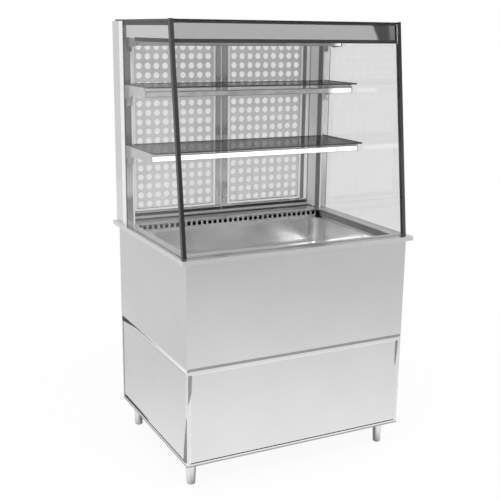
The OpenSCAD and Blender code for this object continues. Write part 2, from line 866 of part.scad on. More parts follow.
// Strip between the posts with a bearing hole for each door pin
module door_strip(z, h) {
    color(alu)
    difference() {
        box([-post_in, stop_y, z], [post_in, post_y1, z + h]);
        for (x = [-pin_x, pin_x]) translate([x, pin_y, z - 1])
            cylinder(r = pin_r + run_fit, h = h + 2, $fn = 48);
    }
}

module door_sill() {
    door_strip(rim_z, sill_h);
}

module door_header() {
    door_strip(post_top - header_h, header_h);
}

// Stop strips in front of the closed doors, one on the sill and one below the header
module door_stops() {
    color(alu)
    for (z = [rim_z + sill_h, post_top - header_h - stop_h])
        box([-post_in, stop_y, z], [post_in, stop_y + stop_t, z + stop_h]);
}

// Block over the open field of a door, grown by g, from y0 to y1
module field_box(g, y0, y1) {
    box([field_x0 - g, y0, field_z0 - g], [field_x1 + g, y1, field_z1 + g]);
}

// Door frame with a stepped inner lip, a groove for the panes, a flush pull and two pivot pins
module door_frame() {
    pull_w = 18;
    pull_l = 120;
    pull_depth = 12;
    color(alu)
    difference() {
        union() {
            box([door_x0, door_y0, door_z0], [door_x1, door_y1, door_z1]);
            translate([pin_x, pin_y, rim_z + 0.5]) cylinder(r = pin_r, h = door_z0 - rim_z, $fn = 48);
            translate([pin_x, pin_y, door_z1 - 1]) cylinder(r = pin_r, h = header_h, $fn = 48);
        }
        field_box(0, door_y0 - 1, door_y1 + 1);
        field_box(lip, door_y0 - 1, door_y0 + 4);
        field_box(groove, groove_y0, groove_y1);
        translate([door_x0 + 15, door_y1 + 1, pull_z]) rotate([90, 0, 0])
            linear_extrude(pull_depth + 1) rrect(pull_w, pull_l, pull_w/2 - 0.1);
    }
}

module door_frame_left() {
    mirror([1, 0, 0]) door_frame();
}

module door_frame_right() {
    door_frame();
}

// Screen with a grid of round see-through openings, held in the door groove
module dot_screen() {
    x = (field_x0 + field_x1)/2;
    z = (field_z0 + field_z1)/2;
    edge = 2*(groove - pane_gap);
    color(steel)
    translate([x, groove_y0 + screen_t, z]) rotate([90, 0, 0]) linear_extrude(screen_t) difference() {
        square([field_x1 - field_x0 + edge, field_z1 - field_z0 + edge], center = true);
        for (i = [0 : dot_cols - 1], j = [0 : dot_rows - 1])
            translate([(i - (dot_cols - 1)/2)*dot_pitch, (j - (dot_rows - 1)/2)*dot_pitch])
                circle(d = dot_d, $fn = 32);
    }
}

module dot_screen_left() {
    mirror([1, 0, 0]) dot_screen();
}

module dot_screen_right() {
    dot_screen();
}

// Clear pane that closes the door behind the screen
module door_pane() {
    color(clear) field_box(groove - pane_gap, groove_y0 + screen_t, groove_y1);
}

module door_pane_left() {
    mirror([1, 0, 0]) door_pane();
}

module door_pane_right() {
    door_pane();
}

// Electronic thermostat: flush bezel with a window, and its case behind the panel
module thermostat() {
    w = thermo_w/2 - cut_gap;
    h = thermo_h/2 - cut_gap;
    bezel = 3;
    depth = 58;
    key_r = 2.6;
    color(dark)
    translate([thermo_x, body_d/2, ctrl_z]) difference() {
        union() {
            translate([0, bezel, 0]) rotate([90, 0, 0])
                linear_extrude(bezel) rrect(thermo_w + 2*bezel, thermo_h + 2*bezel, 4);
            box([-w, -depth, -h], [w, 0.5, h]);
        }
        translate([-8, bezel + 1, 0]) rotate([90, 0, 0]) linear_extrude(2.2) rrect(44, 20, 2);
        for (x = [22, 30], z = [-7, 7]) translate([x, bezel + 1, z]) rotate([90, 0, 0])
            cylinder(r = key_r, h = 1.6, $fn = 32);
    }
}

// Housings of the two rocker switches, with bezels and pivot holes
module switch_housings() {
    w = switch_w/2 - cut_gap;
    h = switch_h/2 - cut_gap;
    bezel = 2;
    depth = 30;
    color(dark)
    for (x = [0, switch_gap]) translate([ctrl_x + x, body_d/2, ctrl_z]) difference() {
        union() {
            translate([0, bezel, 0]) rotate([90, 0, 0])
                linear_extrude(bezel) rrect(switch_w + 2*bezel, switch_h + 3*bezel, bezel);
            box([-w, -depth, -h], [w, 0.5, h]);
        }
        translate([-rocker_w/2 - 0.4, -rocker_in, 0]) rotate([0, 90, 0])
            cylinder(r = rocker_r + 0.6, h = rocker_w + 0.8, $fn = 96);
        translate([-10, -rocker_in, 0]) rotate([0, 90, 0])
            cylinder(r = rocker_pin + run_fit, h = 20, $fn = 32);
    }
}

// Rocker about its cross pin: two faces in a shallow valley, tilted to the off side
module rocker() {
    valley = 7;
    rise = 20*tan(rocker_a);
    translate([0, body_d/2 - rocker_in, ctrl_z]) rotate([-rocker_a, 0, 0]) {
        difference() {
            translate([-rocker_w/2, 0, 0]) rotate([0, 90, 0]) cylinder(r = rocker_r, h = rocker_w, $fn = 96);
            yz(-9, 18) polygon([[valley, 0], [valley + rise, 20], [30, 20], [30, -20], [valley + rise, -20]]);
            box([-9, -20, -20], [9, -valley, 20]);
        }
        translate([-9.8, 0, 0]) rotate([0, 90, 0]) cylinder(r = rocker_pin, h = 19.6, $fn = 32);
    }
}

module rocker_power() {
    color([0.15, 0.45, 0.2]) translate([ctrl_x, 0, 0]) rocker();
}

module rocker_light() {
    color([0.15, 0.15, 0.16]) translate([ctrl_x + switch_gap, 0, 0]) rocker();
}

// Hermetic compressor: drawn shell, terminal box and foot plate on rubber feet
module compressor() {
    r = comp_d/2;
    shell_z = 22;
    low = 30;
    dome = 40;
    plate_d = 120;
    foot_r = 11;
    box_w = 56;
    color(dark)
    translate([comp_x, comp_y, unit_z]) {
        translate([0, 0, shell_z]) rotate_extrude($fn = 96) polygon([
            for (a = [0 : 10 : 90]) [r*0.7 + r*0.3*sin(a), low - low*cos(a)],
            for (a = [0 : 10 : 90]) [r*0.55 + r*0.45*cos(a), comp_h - shell_z - dome + dome*sin(a)],
            [0, comp_h - shell_z], [0, 0]]);
        translate([0, 0, shell_z + comp_h*0.45]) cylinder(r = r + 3, h = 4, $fn = 96);
        translate([0, 0, shell_z - 4]) linear_extrude(5) rrect(comp_d + 10, plate_d, 12);
        for (x = [-1, 1], y = [-1, 1]) translate([x*(r - 8), y*(plate_d/2 - 14), 0])
            cylinder(r = foot_r, h = shell_z - 3, $fn = 32);
        translate([r - 8, 0, comp_h*0.46]) box([0, -box_w/2, 0], [34, box_w/2, box_w]);
        translate([0, 0, comp_out]) rotate([0, -90, 0]) cylinder(r = 7, h = r + stub, $fn = 32);
        translate([0, 0, comp_out - 20]) rotate([-90, 0, 0]) cylinder(r = 5, h = r + stub, $fn = 32);
    }
}

// Condenser coil: fins on ten tube runs between two side plates, joined to one path by bends
module condenser() {
    n = 36;
    fin_t = 0.8;
    fin_in = 4;
    end_t = 2;
    e = cond_end;
    ya = cond_y0 + cond_in;
    yb = cond_y1 - cond_in;
    z = cond_z0 + 25;
    h = (cond_h - 50)/4;
    color(alu) translate([cond_x, 0, 0]) {
        for (i = [1 : n - 1]) translate([-cond_w/2 + i*cond_w/n, 0, cond_z0])
            box([0, cond_y0 + fin_in, fin_in], [fin_t, cond_y1 - fin_in, cond_h - fin_in]);
        for (x = [-cond_w/2 - end_t, cond_w/2])
            box([x, cond_y0, unit_z], [x + end_t, cond_y1, cond_z0 + cond_h]);
        pipe([[-e, ya, z + 4*h], [e, ya, z + 4*h], [e, ya, z + 3*h], [-e, ya, z + 3*h],
            [-e, ya, z + 2*h], [e, ya, z + 2*h], [e, ya, z + h], [-e, ya, z + h], [-e, ya, z], [e, ya, z],
            [e, yb, z], [-e, yb, z], [-e, yb, z + h], [e, yb, z + h], [e, yb, z + 2*h], [-e, yb, z + 2*h],
            [-e, yb, z + 3*h], [e, yb, z + 3*h], [e, yb, z + 4*h], [-e, yb, z + 4*h]], cond_tube);
    }
}

// Sheet shroud that guides the air from the coil to the condenser fan
module fan_shroud() {
    w = cond_w/2;
    t = 1.5;
    color(dark)
    translate([cond_x, cond_y0, 0]) difference() {
        box([-w, -shroud_d, unit_z], [w, 0, cond_z0 + cond_h]);
        box([-w + t, -shroud_d + t, unit_z + t], [w - t, 1, cond_z0 + cond_h - t]);
        translate([0, -shroud_d - 1, cfan_z]) rotate([-90, 0, 0])
            cylinder(r = cfan_d/2 + 2*fan_gap, h = t + 2, $fn = 96);
    }
}

// Condenser fan wheel in the shroud opening, driven from the cabinet side
module condenser_fan() {
    color([0.75, 0.76, 0.78])
    translate([cond_x, cond_y0 - shroud_d/2 + 1, cfan_z]) rotate([90, 0, 0])
        fan_wheel(cfan_d, cfan_h, 28, cfan_shaft, 24);
}

// Fan motor on a cross bar bolted to the shroud
module fan_motor() {
    y = -shroud_d - 18;
    bar_x = cond_w/2 - 4;
    bar_w = 16;
    bar_t = 4;
    bar_y = y - 14;
    color(dark)
    translate([cond_x, cond_y0, cfan_z]) difference() {
        union() {
            translate([0, y, 0]) rotate([90, 0, 0]) cylinder(r = 36, h = 55, $fn = 64);
            box([-bar_x, bar_y, -bar_w/2], [bar_x, bar_y + bar_t, bar_w/2]);
            for (x = [-bar_x, bar_x - bar_t]) box([x, bar_y, -bar_w/2], [x + bar_t, -shroud_d, bar_w/2]);
        }
        translate([0, y + 1, 0]) rotate([90, 0, 0]) cylinder(r = cfan_shaft + run_fit, h = 24, $fn = 32);
    }
}

// Copper suction, discharge and liquid lines; the liquid line carries the filter drier
module refrigerant_pipes() {
    zs = unit_z + comp_out;
    zd = zs - 20;
    zc = cond_z0 + cond_h - 25;
    r = comp_d/2 + stub;
    ya = evap_y0 + evap_in;
    yb = evap_y1 - evap_in;
    ca = cond_y0 + cond_in;
    cb = cond_y1 - cond_in;
    xe = -evap_x - 14;
    xc = cond_x - cond_end;
    xl = line_x + line_p;
    color([0.72, 0.45, 0.3]) {
        pipe([[xe, yb, evap_zb], [line_x, yb, evap_zb], [line_x, yb, skirt_z + 35],
            [line_x, comp_y, skirt_z + 35], [line_x, comp_y, zs], [comp_x - r, comp_y, zs]], 6);
        pipe([[comp_x, comp_y + r, zd], [comp_x, cb, zd], [comp_x, cb, zc], [xc, cb, zc]], 4);
        pipe([[xc, ca, zc], [xc - 25, ca, zc], [xc - 25, ya - 50, zc], [xl, ya - 50, zc],
            [xl, ya, zc], [xl, ya, evap_za], [xe, ya, evap_za]], 3.5);
        translate([xl, ya, skirt_z + 20]) cylinder(r = 11, h = 80, $fn = 32);
    }
}

legs();
base_frame();
unit_plate();
base_panel_front();
base_panel_left();
base_panel_right();
louvre_panel();
skirt_front();
skirt_left();
skirt_right();
control_panel();
rim_top();
tank_liner();
air_grille();
tank_insulation();
evaporator();
fan_plate();
evap_motors();
evap_fan_left();
evap_fan_right();
drain_pipe();
post_left();
post_right();
side_glass_left();
side_glass_right();
front_glass();
corner_profile_left();
corner_profile_right();
roof_pane();
canopy();
top_lamp();
top_diffuser();
shelf_upper();
shelf_lower();
brackets_upper();
brackets_lower();
lamp_upper();
diffuser_upper();
lamp_lower();
diffuser_lower();
led_strips();
door_sill();
door_header();
door_stops();
door_frame_left();
door_frame_right();
dot_screen_left();
dot_screen_right();
door_pane_left();
door_pane_right();
thermostat();
switch_housings();
rocker_power();
rocker_light();
compressor();
condenser();
fan_shroud();
condenser_fan();
fan_motor();
refrigerant_pipes();
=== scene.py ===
import bpy
import numpy as np
from mathutils import Matrix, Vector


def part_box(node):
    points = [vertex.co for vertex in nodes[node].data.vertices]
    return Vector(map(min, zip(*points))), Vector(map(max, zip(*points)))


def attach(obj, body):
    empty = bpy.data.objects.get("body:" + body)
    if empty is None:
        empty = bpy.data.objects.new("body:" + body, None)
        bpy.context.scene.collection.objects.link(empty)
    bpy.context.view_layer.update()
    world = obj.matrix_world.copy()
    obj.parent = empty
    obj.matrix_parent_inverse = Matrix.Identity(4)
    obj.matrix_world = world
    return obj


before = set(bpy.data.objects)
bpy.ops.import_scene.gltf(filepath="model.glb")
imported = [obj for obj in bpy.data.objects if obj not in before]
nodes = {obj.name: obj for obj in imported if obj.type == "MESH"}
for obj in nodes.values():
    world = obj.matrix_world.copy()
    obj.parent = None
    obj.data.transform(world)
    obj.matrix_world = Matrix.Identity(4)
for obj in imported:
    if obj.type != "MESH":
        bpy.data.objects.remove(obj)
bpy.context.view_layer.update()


# Legs: four tapered tubes of stainless steel, spun to a cone and ground around, each welded to
# a plate of the base frame. The grinding leaves fine rings, so highlights run up the leg.
def linear(code):
    """Linear colour of an sRGB hex code: c becomes ((c + 0.055)/1.055)^2.4, or c/12.92 where c is small."""
    c = np.array([int(code[i:i + 2], 16) for i in (1, 3, 5)])/255
    c = np.where(c > 0.04045, ((c + 0.055)/1.055)**2.4, c/12.92)
    return (*c, 1.0)


def new_finish(name):
    """A material with an empty node tree."""
    m = bpy.data.materials.new(name)
    m.use_nodes = True
    m.node_tree.nodes.clear()
    return m


def add(m, kind, inputs=None, **settings):
    """Adds a node to the tree of m. inputs gives each socket a value or another node's output."""
    node = m.node_tree.nodes.new(kind)
    for key, value in settings.items():
        setattr(node, key, value)
    for key, value in (inputs or {}).items():
        if isinstance(value, bpy.types.NodeSocket):
            m.node_tree.links.new(value, node.inputs[key])
        else:
            node.inputs[key].default_value = value
    return node


def place_in(m):
    """Object coordinates in metres."""
    return add(m, "ShaderNodeTexCoord").outputs["Object"]


def noise(m, scale, detail, at=None):
    """Noise with scale cells a metre, or read at another vector."""
    at = place_in(m) if at is None else at
    return add(m, "ShaderNodeTexNoise", {"Vector": at, "Scale": scale, "Detail": detail}).outputs["Fac"]


def maths(m, operation, *values):
    """Result of one operation on these values."""
    return add(m, "ShaderNodeMath", dict(enumerate(values)), operation=operation).outputs[0]


def ranged(m, value, from_min, from_max, to_min=0.0, to_max=1.0):
    """Carries a value from one range over to another and stops at its ends."""
    return add(m, "ShaderNodeMapRange", {"Value": value, "From Min": from_min, "From Max": from_max,
                                         "To Min": to_min, "To Max": to_max}).outputs[0]


def colours(m, share, first, second):
    """Mix of two colours, each an sRGB code or another colour, with share as the part of the second."""
    ends = [linear(c) if isinstance(c, str) else c for c in (first, second)]
    return add(m, "ShaderNodeMix", {0: share, 6: ends[0], 7: ends[1]}, data_type="RGBA").outputs[2]


def relief_of(m, height, strength, depth):
    """Surface direction over a relief that is depth metres deep."""
    return add(m, "ShaderNodeBump", {"Height": height, "Strength": strength, "Distance": depth}).outputs[0]


def surface(m, inputs):
    """Ends the tree of m in one Principled surface with these inputs."""
    shader = add(m, "ShaderNodeBsdfPrincipled", inputs)
    add(m, "ShaderNodeOutputMaterial", {"Surface": shader.outputs[0]})
    return m


def dress(m, *names):
    """Gives these CAD nodes the finish m."""
    for name in names:
        mesh = nodes[name].data
        mesh.materials.clear()
        mesh.materials.append(m)


def ground_steel(name, along, spacing, run, light, dark, rough, pull=0.0, relief=0.1):
    """Ground stainless steel: streaks run along one axis, spacing apart and run long, both in millimetres.
    light and dark are the colours between which the streaks vary, and rough their range of roughness.
    pull stretches highlights across the streaks, and relief is the depth of the streaks."""
    m = new_finish(name)
    step = [1000/spacing]*3
    step[along] = 1000/run
    streak = add(m, "ShaderNodeMapping", {"Vector": place_in(m), "Scale": step})
    grain = noise(m, 1.0, 3.0, streak.outputs[0])
    both = maths(m, "MULTIPLY_ADD", noise(m, 5.0, 2.0), 0.35, maths(m, "MULTIPLY", grain, 0.65))
    return surface(m, {
        "Base Color": colours(m, ranged(m, both, 0.3, 0.7), dark, light), "Metallic": 1.0,
        "Roughness": ranged(m, grain, 0.25, 0.75, *rough), "Normal": relief_of(m, grain, relief, 0.0002),
        "Anisotropic": pull})


# Grit 320 leaves lines about 0.3 mm apart, drawn at 0.8 mm so that they show.
X, Y, Z = range(3)
SPACING = 0.8
spun_steel = ground_steel("stainless_ring_ground", X, SPACING, SPACING, "#E2E2E2", "#D4D4D4", (0.16, 0.24))
dress(spun_steel, "legs")


# Base frame: folded stainless members welded into one ring below and one above, with four corner
# uprights. Its faces show as narrow bright edges around every base panel.
frame_steel = ground_steel("stainless_satin_frame", Z, SPACING, 60, "#E6E6E6", "#DCDCDC", (0.20, 0.30))
dress(frame_steel, "base_frame")


# Floor pan of the machine compartment: plain mill-finish sheet with air slots, laid on the
# corner plates of the frame.
plain_sheet = ground_steel("stainless_mill_finish", X, 1.2, 90, "#CCCCCC", "#BDBDBD", (0.34, 0.46))
dress(plain_sheet, "unit_plate")


# Compressor, fan shroud and fan motor: drawn and pressed steel under thick black enamel, which has
# a fine orange peel that breaks up its gloss.
enamel = new_finish("black_stove_enamel")
peel = noise(enamel, 450.0, 1.0)
wear = noise(enamel, 22.0, 4.0)
surface(enamel, {
    "Base Color": colours(enamel, ranged(enamel, wear, 0.4, 0.75), "#17181A", "#26272A"),
    "Roughness": ranged(enamel, wear, 0.0, 1.0, 0.22, 0.5), "Normal": relief_of(enamel, peel, 0.25, 0.0004)})
dress(enamel, "compressor", "fan_shroud", "fan_motor")


# Condenser, evaporator and condenser fan: thin aluminium sheet, rolled and left bright. The fins
# vary a little in tone where they were handled.
def even_finish(name, light, dark, rough, patch, metallic=1.0):
    """Even metal, paint or plastic: its tone varies in soft patches about patch metres wide, and its
    roughness and a faint relief in fine grains. metallic is 0 for paint, plastic and rubber."""
    m = new_finish(name)
    tone = noise(m, 1/patch, 3.0)
    fine = noise(m, 1400.0, 1.0)
    return surface(m, {
        "Base Color": colours(m, tone, dark, light), "Metallic": metallic,
        "Roughness": ranged(m, fine, 0.0, 1.0, *rough), "Normal": relief_of(m, fine, 0.08, 0.0001)})


fin_stock = even_finish("aluminium_fin_stock", "#D8D8D8", "#B6B6B6", (0.28, 0.42), 0.05)
dress(fin_stock, "condenser", "evaporator", "condenser_fan")


# Refrigerant lines and filter drier: drawn copper tube, brazed at the joints. Handling leaves it
# darker and duller in places.
copper = new_finish("copper_drawn_tube")
stain = noise(copper, 16.0, 5.0)
surface(copper, {
    "Base Color": colours(copper, stain, "#8E5A3C", "#DA946A"), "Metallic": 1.0,
    "Roughness": ranged(copper, stain, 0.0, 1.0, 0.42, 0.22)})
dress(copper, "refrigerant_pipes")


# Base panels: folded stainless sheets hung inside the frame, with a shadow gap all round. Front and
# rear panels are ground from side to side, and the side panels from front to back.
sheet_x = ground_steel("stainless_brushed_across", X, SPACING, 70, "#E4E4E4", "#DADADA", (0.30, 0.40), 0.3)
sheet_y = ground_steel("stainless_brushed_deep", Y, SPACING, 70, "#E2E2E2", "#D8D8D8", (0.30, 0.40), 0.3)
dress(sheet_x, "base_panel_front", "louvre_panel")
dress(sheet_y, "base_panel_left", "base_panel_right")


# Upper skins: the same folded sheet over the insulated tank, flush with the frame. The rear one has
# the cut-outs for the controls.
dress(sheet_x, "skirt_front", "control_panel")
dress(sheet_y, "skirt_left", "skirt_right")


# Base trim: grey strips along the joint below the front skin and along the lower edge of the base,
# which are painted shade for the shaded groove and the shaded lower edge there, and a pale plastic
# bead pressed into the gap round the front panel.
def bar_section(u0, v0, u1, v1, r):
    """Bar outline from (u0, v0) to (u1, v1), with quarter circles c + r(cos t, sin t) at its corners."""
    a = np.linspace(0, np.pi/2, 4)
    corners = ((u1 - r, v1 - r, 0), (u0 + r, v1 - r, 1), (u0 + r, v0 + r, 2), (u1 - r, v0 + r, 3))
    return [(x + r*np.cos(t + k*np.pi/2), y + r*np.sin(t + k*np.pi/2)) for x, y, k in corners for t in a]


def loop_faces(rows, cols):
    """Quads that join each of the rows to the next. Each row is a closed loop of cols points."""
    r, c = np.meshgrid(np.arange(rows - 1), np.arange(cols), indexing="ij")
    d = (c + 1) % cols
    return np.stack([r*cols + c, (r + 1)*cols + c, (r + 1)*cols + d, r*cols + d], -1).reshape(-1, 4).tolist()


def new_mesh(name, points, faces, m):
    """Object of one mesh in the finish m, at the origin."""
    mesh = bpy.data.meshes.new(name)
    mesh.from_pydata(points, [], faces)
    mesh.materials.append(m)
    obj = bpy.data.objects.new(name, mesh)
    bpy.context.scene.collection.objects.link(obj)
    return obj


def sweep(name, path, bar, up, m, body="case", widths=1.0):
    """A bar section carried along a path: each point of the path holds one loop of the section, at
    p + width*side*u + up*v, where side is normal to the path and to up and is lengthened at corners
    so that the loops meet as mitres. bar gives u0, v0, u1, v1 and the corner radius in metres. A path
    that ends where it began is closed. widths gives the width at each point."""
    path, up = np.array(path, float), np.array(up, float)
    step = np.diff(path, axis=0)
    step /= np.linalg.norm(step, axis=1)[:, None]
    normal = np.cross(step, up)
    closed = np.allclose(path[0], path[-1])
    before = np.vstack([normal[-1:] if closed else normal[:1], normal])
    after = np.vstack([normal, normal[:1] if closed else normal[-1:]])
    side = (before + after)/(1 + (before*after).sum(1))[:, None]
    side *= (np.ones(len(path))*widths)[:, None]
    uv = np.array(bar_section(*bar))
    loops = path[:, None] + side[:, None]*uv[None, :, :1] + up*uv[None, :, 1:]
    rows, cols = loops.shape[:2]
    ends = [] if closed else [list(range(cols)), list(range(rows*cols - 1, (rows - 1)*cols - 1, -1))]
    obj = new_mesh(name, loops.reshape(-1, 3).tolist(), loop_faces(rows, cols) + ends, m)
    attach(obj, body)
    return obj


def level_line(x0, x1, y, z):
    """Path from side to side."""
    return [(x0, y, z), (x1, y, z)]


def round_front(x, back, front, z):
    """Path from the rear left, round the front, to the rear right."""
    return [(-x, back, z), (-x, front, z), (x, front, z), (x, back, z)]


UPWARDS, FORWARDS, LEFTWARDS = (0, 0, 1), (0, -1, 0), (-1, 0, 0)
satin_anodised = even_finish("anodised_satin_silver", "#A8A8A8", "#9C9C9C", (0.26, 0.36), 0.06)
base_low, base_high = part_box("base_frame")
JOINT_IN, JOINT_RISE, EDGE_IN = 0.004, 0.002, 0.002
joint_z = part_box("skirt_front")[0][2] + JOINT_RISE
# Painted shade: the joint strip and the edge strip are grey only to stand for shade.
sweep("joint_painted_shade", level_line(base_low[0] + JOINT_IN, base_high[0] - JOINT_IN, base_low[1], joint_z),
      (0.0, -0.004, 0.0012, 0.005, 0.0005), UPWARDS, satin_anodised)
sweep("base_edge_painted_shade", round_front(base_high[0], base_high[1] - EDGE_IN, base_low[1], base_low[2]),
      (0.0001, 0.0001, 0.0007, 0.0052, 0.0003), UPWARDS, satin_anodised)

low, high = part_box("base_panel_front")
GAP_MID = 0.0015
x0, x1, z0, z1 = low[0] - GAP_MID, high[0] + GAP_MID, low[2] - GAP_MID, high[2] + GAP_MID
gap_path = [(x, low[1], z) for x, z in ((x0, z0), (x0, z1), (x1, z1), (x1, z0))]
pale_bead = even_finish("pale_grey_gap_bead", "#E0E0E0", "#D4D4D4", (0.4, 0.5), 0.1, 0.0)
sweep("gap_bead_front", gap_path, (-0.0014, -0.002, 0.0014, 0.0008, 0.0004), FORWARDS, pale_bead)


# Base wedges: thin tapered strips laid along joints on the front or the left face of the base. The
# grey and black wedges are painted shade and painted dark reflections, the white one a painted highlight.
rubber = new_finish("black_rubber_profile")
surface(rubber, {
    "Base Color": colours(rubber, noise(rubber, 60.0, 3.0), "#262626", "#363636"), "Roughness": 0.6})
seal_grey = even_finish("grey_rubber_seal", "#868686", "#7A7A7A", (0.5, 0.6), 0.05, 0.0)
# Its near-white is a painted highlight, on the left face of the base and down the posts.
highlight_white = even_finish("white_strip_painted_highlight", "#FFFFFF", "#F8F8F8", (0.4, 0.5), 0.08, 0.0)

# Each wedge gives its face, its finish, its points along and up the face, and its width at each of
# them, all in metres. A width below zero lies on the other side of the points.
WEDGE_LOW, WEDGE_HIGH, WEDGE_ROUND = 0.0001, 0.0006, 0.0002
PAINTED_LIGHT_WEDGES = {
    "front_left": (FORWARDS, seal_grey, ((-0.465, 0.355), (-0.465, 0.40), (-0.465, 0.467)),
                   (0.001, 0.013, 0.016)),
    "front_right": (FORWARDS, seal_grey, ((0.4495, 0.36), (0.4495, 0.467)),
                    (0.001, 0.009)),
    "left_front": (LEFTWARDS, seal_grey, ((-0.358, 0.122), (-0.358, 0.17), (-0.358, 0.30)),
                   (-0.030, -0.026, -0.002)),
    "left_top": (LEFTWARDS, highlight_white, ((0.11, 0.4885), (-0.10, 0.4885), (-0.362, 0.4885)),
                 (0.001, 0.006, 0.012)),
    "left_rear": (LEFTWARDS, rubber, ((0.352, 0.487), (0.26, 0.487), (0.14, 0.487)),
                  (0.022, 0.012, 0.001)),
    "left_foot": (LEFTWARDS, rubber, ((0.345, 0.1255), (0.22, 0.1255), (0.05, 0.1255)),
                  (0.009, 0.007, 0.002))}
# Painted light: grey and black wedges paint shade and dark reflections, the white one a highlight.
for name, (face, m, points, widths) in PAINTED_LIGHT_WEDGES.items():
    path = [(base_low[0], a, z) if face == LEFTWARDS else (a, base_low[1], z) for a, z in points]
    reach = np.sign(widths[0])
    bar = (min(0, reach), WEDGE_LOW, max(0, reach), WEDGE_HIGH, WEDGE_ROUND)
    sweep("base_painted_light_wedge_" + name, path, bar, face, m, widths=np.abs(widths))


# Thermostat, switches, and air fans with their motors: injection-moulded black plastic with a fine
# spark-eroded grain, so that it looks dry. The controls snap into the cut-outs of the rear skin.
moulded = new_finish("black_moulded_plastic")
grit = noise(moulded, 1800.0, 2.0)
surface(moulded, {
    "Base Color": colours(moulded, grit, "#131416", "#1E1F22"), "Roughness": 0.5,
    "Normal": relief_of(moulded, grit, 0.2, 0.0001)})
dress(moulded, "thermostat", "switch_housings", "rocker_light", "evap_motors", "evap_fan_left",
      "evap_fan_right")

# The power switch is clear green plastic over a lamp, so it glows a little.
lit_green = new_finish("green_clear_plastic")
surface(lit_green, {
    "Base Color": colours(lit_green, noise(lit_green, 90.0, 2.0), "#146B2E", "#1E8B3E"), "Roughness": 0.18,
    "Emission Color": linear("#2BD65A"), "Emission Strength": 0.15, "Coat Weight": 0.4})
dress(lit_green, "rocker_power")


# Counter rim: thicker stainless plate, ground and then brushed to a soft mirror, with its edge
# folded down. The posts and panes mirror in it.
rim_steel = ground_steel("stainless_fine_ground", X, 0.6, 90, "#E6E6E6", "#DEDEDE", (0.24, 0.32))
dress(rim_steel, "rim_top")


# Tank, air outlet strip and fan shelf: the tank and the strip are deep-drawn stainless steel, left
# bright, so the slots and the light of the lamps show blurred in its walls.
tank_steel = ground_steel("stainless_bright_drawn", X, 0.9, 40, "#FAFAFA", "#F2F2F2", (0.16, 0.26))
dress(tank_steel, "tank_liner", "air_grille")
dress(plain_sheet, "fan_plate")


# Insulation: rigid foam blown around the tank, with a skin of small closed cells. The faces inside
# the air duct are near black as painted shade, so the outlet slots look dark.
DUCT_MARGIN = 0.006
foam = new_finish("rigid_blown_foam")
place = place_in(foam)
cells = add(foam, "ShaderNodeTexVoronoi", {"Vector": place, "Scale": 420.0})
cream = colours(foam, noise(foam, 9.0, 3.0), "#E4D6A4", "#F1E8C6")
duct_low, duct_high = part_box("evaporator")
depth = add(foam, "ShaderNodeSeparateXYZ", {0: place}).outputs["Y"]
# Painted shade: the foam turns near black between these depths, inside the air duct.
past = maths(foam, "GREATER_THAN", depth, duct_low[1] - DUCT_MARGIN)
before = maths(foam, "LESS_THAN", depth, duct_high[1] + DUCT_MARGIN)
surface(foam, {
    "Base Color": colours(foam, maths(foam, "MULTIPLY", past, before), cream, "#0B0B0B"), "Roughness": 0.85,
    "Normal": relief_of(foam, cells.outputs["Distance"], 0.5, 0.0006)})
dress(foam, "tank_insulation")


# Drain tube: extruded grey plastic pipe, faintly ringed by the die, pushed over the outlet of the
# tank and led down through the foam.
pipe_grey = new_finish("grey_extruded_pipe")
surface(pipe_grey, {
    "Base Color": colours(pipe_grey, noise(pipe_grey, 60.0, 2.0), "#8A8C90", "#9A9CA0"), "Roughness": 0.38})
dress(pipe_grey, "drain_pipe")


# Rear posts: folded stainless boxes, ground from bottom to top and bolted down through the rim. They
# carry the side panes, the shelf brackets and the canopy.
post_steel = ground_steel("stainless_brushed_upright", Z, SPACING, 80, "#E2E2E2", "#DADADA", (0.07, 0.13))
dress(post_steel, "post_left", "post_right")


# Glass panes: toughened float glass with a coat that takes most of the reflection away. Its ground
# edges look dark because they show the depth of the pane.
def float_glass(name, thin, tint, edge, ior=1.1, film=0.0):
    """Clear glass whose faces across the axis thin let light through. The other faces are ground edges.
    Lamps reach what is behind the pane straight through it. film is the share of a glossy coat."""
    m = new_finish(name)
    axis = [0.0, 0.0, 0.0]
    axis[thin] = 1.0
    normal = add(m, "ShaderNodeTexCoord").outputs["Normal"]
    across = add(m, "ShaderNodeVectorMath", {0: normal, 1: axis}, operation="DOT_PRODUCT")
    on_edge = maths(m, "LESS_THAN", maths(m, "ABSOLUTE", across.outputs["Value"]), 0.7)
    pane = add(m, "ShaderNodeBsdfPrincipled", {
        "Base Color": linear(tint), "Roughness": 0.0, "IOR": ior, "Transmission Weight": 1.0,
        "Coat Weight": film})
    lighter = tuple(1.8*v for v in linear(edge)[:3]) + (1.0,)
    side = add(m, "ShaderNodeBsdfPrincipled", {
        "Base Color": colours(m, noise(m, 900.0, 1.0), edge, lighter), "Roughness": 0.2, "IOR": 1.5})
    clear = add(m, "ShaderNodeBsdfTransparent")
    rays = add(m, "ShaderNodeLightPath")
    lamp = maths(m, "MAXIMUM", rays.outputs["Is Shadow Ray"], rays.outputs["Is Diffuse Ray"])
    seen = add(m, "ShaderNodeMixShader", {0: lamp, 1: pane.outputs[0], 2: clear.outputs[0]})
    whole = add(m, "ShaderNodeMixShader", {0: on_edge, 1: seen.outputs[0], 2: side.outputs[0]})
    add(m, "ShaderNodeOutputMaterial", {"Surface": whole.outputs[0]})
    return m


dress(float_glass("float_glass_left", X, "#F2F2F2", "#4A4A4A", 1.12), "side_glass_left")
dress(float_glass("float_glass_right", X, "#F2F2F2", "#4A4A4A", 1.45), "side_glass_right")
dress(float_glass("float_glass_front", Y, "#EEEEEE", "#4A4A4A"), "front_glass")


# Roof pane: the same float glass, laid on the canopy and the side panes. It is printed dark on its
# underside, so the lamp bar and the cables stay hidden from above.
dress(float_glass("float_glass_roof", Z, "#5A5A5A", "#1C1C1C"), "roof_pane")


